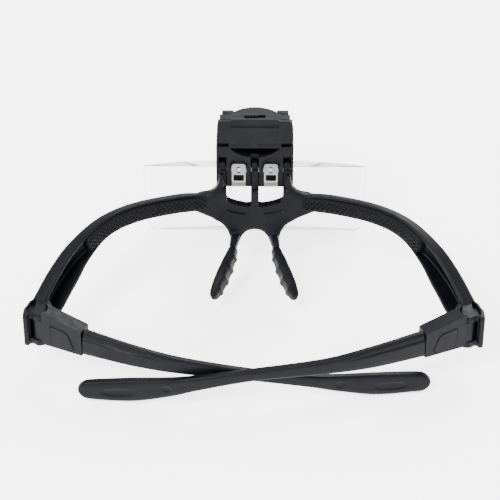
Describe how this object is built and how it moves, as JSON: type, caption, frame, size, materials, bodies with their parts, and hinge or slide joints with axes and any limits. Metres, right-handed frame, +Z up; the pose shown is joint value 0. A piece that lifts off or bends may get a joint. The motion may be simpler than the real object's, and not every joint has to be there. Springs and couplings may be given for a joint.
{
  "type": "head visor magnifier",
  "caption": "Wrap eyeglass-frame head magnifier with folding temples and a tilting clear lens unit carrying a battery box and lamp.",
  "frame": {"origin": "on the surface the object rests on, under the middle of its outline", "axes": "+X to the wearer's right, +Y forward out of the frame towards the lens, +Z up"},
  "size_m": [0.1502, 0.1028, 0.0633],
  "materials": {
    "frame_plastic": "fine satin moulded nylon, near black",
    "pad_rubber": "soft matte, diamond grip on the brow pads",
    "case_plastic": "fine spark-eroded matte, near black",
    "spring_steel": "bright plated",
    "pin_steel": "turned",
    "contact_brass": "stamped",
    "cell_steel": "brushed",
    "circuit_board": "solder mask",
    "lens_acrylic": "polished clear acrylic",
    "led_epoxy": "clear epoxy"
  },
  "bodies": {
    "frame": {"brow_frame": "frame_plastic", "brow_pad_left": "pad_rubber", "brow_pad_right": "pad_rubber", "nose_pad_left": "pad_rubber", "nose_pad_right": "pad_rubber", "tilt_pin": "pin_steel", "hinge_pin_left": "pin_steel", "hinge_pin_right": "pin_steel"},
    "optic_unit": {"carrier": "case_plastic", "spring_clip_left": "spring_steel", "spring_clip_right": "spring_steel", "battery_box": "case_plastic", "case_screws": "pin_steel", "contact_positive": "contact_brass", "contact_negative": "contact_brass", "driver_board": "circuit_board", "switch_body": "case_plastic", "lamp_pin": "pin_steel"},
    "switch": {"switch_slider": "case_plastic"},
    "drawer": {"battery_drawer": "case_plastic", "coin_cell_lower": "cell_steel", "coin_cell_upper": "cell_steel"},
    "lens": {"magnifier_lens": "lens_acrylic"},
    "lamp": {"lamp_shell": "case_plastic", "lamp_window": "lens_acrylic", "lamp_leds": "led_epoxy", "lamp_board": "circuit_board"},
    "left_temple": {"hinge_block_left": "frame_plastic", "temple_arm_left": "frame_plastic", "latch_spring_left": "spring_steel"},
    "left_button": {"release_button_left": "case_plastic"},
    "right_temple": {"hinge_block_right": "frame_plastic", "temple_arm_right": "frame_plastic", "latch_spring_right": "spring_steel"},
    "right_button": {"release_button_right": "case_plastic"}
  },
  "joints": [
    {"name": "left_temple_fold", "type": "hinge", "parent": "frame", "child": "left_temple", "pos_m": [-0.0698, -0.03066, 0.01757], "axis": [0, -0.1028, -0.9947], "range_deg": [0, 82]},
    {"name": "left_release_button", "type": "slide", "parent": "left_temple", "child": "left_button", "axis": [0.4163, 0.9044, -0.0935], "range_m": [0, 0.0008], "stiffness_N_per_m": 300},
    {"name": "right_temple_fold", "type": "hinge", "parent": "frame", "child": "right_temple", "pos_m": [0.0698, -0.03066, 0.01757], "axis": [0, 0.1028, 0.9947], "range_deg": [0, 82]},
    {"name": "right_release_button", "type": "slide", "parent": "right_temple", "child": "right_button", "axis": [-0.4163, 0.9044, -0.0935], "range_m": [0, 0.0008], "stiffness_N_per_m": 300},
    {"name": "optic_tilt", "type": "hinge", "parent": "frame", "child": "optic_unit", "pos_m": [0, 0.02304, 0.04007], "axis": [1, 0, 0], "range_deg": [0, 40]},
    {"name": "lens_slide", "type": "slide", "parent": "optic_unit", "child": "lens", "axis": [0, -0.1028, -0.9947], "range_m": [0, 0.014]},
    {"name": "battery_drawer_slide", "type": "slide", "parent": "optic_unit", "child": "drawer", "axis": [0, -0.9947, 0.1028], "range_m": [0, 0.017]},
    {"name": "switch_slide", "type": "slide", "parent": "optic_unit", "child": "switch", "axis": [1, 0, 0], "range_m": [0, 0.002]},
    {"name": "lamp_tilt", "type": "hinge", "parent": "optic_unit", "child": "lamp", "pos_m": [0, 0.04143, 0.04681], "axis": [1, 0, 0], "range_deg": [-4, 30]}
  ]
}
